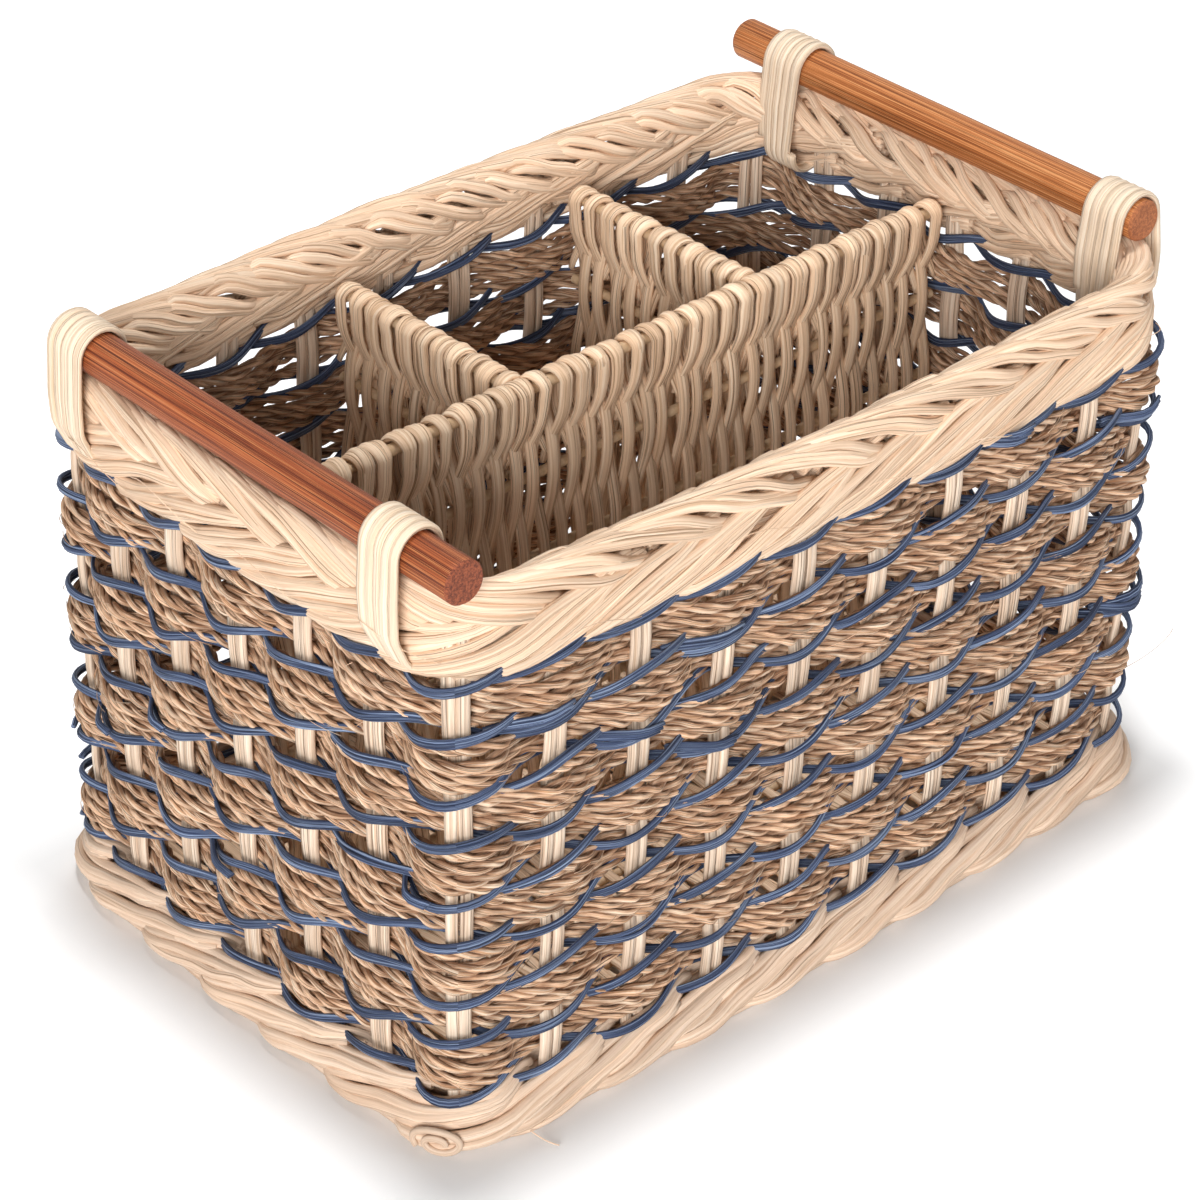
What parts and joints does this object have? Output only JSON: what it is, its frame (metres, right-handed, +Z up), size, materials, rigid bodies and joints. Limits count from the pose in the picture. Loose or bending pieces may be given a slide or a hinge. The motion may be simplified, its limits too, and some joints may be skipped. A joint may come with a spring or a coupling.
{
  "type": "cutlery basket",
  "caption": "Woven reed and rope cutlery basket with divided compartments, braided rim and foot borders, and wooden dowel handles tied on the rim with cane.",
  "frame": {"origin": "middle of the underside of the foot border, on the floor", "axes": "+X along the length, +Y from the front to the back, +Z up"},
  "size_m": [0.3, 0.2, 0.1975],
  "materials": {
    "border_reed": "matte natural",
    "stake_reed": "matte natural",
    "rope": "rough twisted fibre",
    "blue_reed": "matte dyed",
    "base_reed": "matte natural",
    "divider_cane": "matte natural",
    "divider_rod": "matte natural",
    "handle_red": "satin stained",
    "handle_tan": "satin stained",
    "lashing_cane": "matte natural"
  },
  "bodies": {
    "basket": {"foot_border": "border_reed", "rim_border": "border_reed", "base_weave": "base_reed", "base_sticks": "base_reed", "stakes_front": "stake_reed", "stakes_right": "stake_reed", "stakes_back": "stake_reed", "stakes_left": "stake_reed", "stakes_corner": "stake_reed", "rope_row_1": "rope", "rope_row_2": "rope", "rope_row_3": "rope", "rope_row_4": "rope", "rope_row_5": "rope", "rope_row_6": "rope", "rope_row_7": "rope", "rope_row_8": "rope", "twined_row_1": "blue_reed", "twined_row_2": "blue_reed", "twined_row_3": "blue_reed", "twined_row_4": "blue_reed", "twined_row_5": "blue_reed", "twined_row_6": "blue_reed", "twined_row_7": "blue_reed", "twined_row_8": "blue_reed", "twined_row_9": "blue_reed", "long_divider_weave": "divider_cane", "long_divider_rods": "divider_rod", "long_divider_top_rod": "divider_rod", "cross_divider_left_weave": "divider_cane", "cross_divider_left_rods": "divider_rod", "cross_divider_left_top_rod": "divider_rod", "cross_divider_right_weave": "divider_cane", "cross_divider_right_rods": "divider_rod", "cross_divider_right_top_rod": "divider_rod", "lashing_left_front": "lashing_cane", "lashing_left_back": "lashing_cane", "lashing_right_front": "lashing_cane", "lashing_right_back": "lashing_cane"},
    "left_handle": {"handle_left": "handle_red"},
    "right_handle": {"handle_right": "handle_tan"}
  },
  "joints": [
    {"name": "left_handle_roll", "type": "hinge", "parent": "basket", "child": "left_handle", "pos_m": [-0.13628, -0.008, 0.18815], "axis": [0, 1, 0], "continuous": true},
    {"name": "right_handle_roll", "type": "hinge", "parent": "basket", "child": "right_handle", "pos_m": [0.13628, 0.008, 0.18815], "axis": [0, 1, 0], "continuous": true}
  ]
}
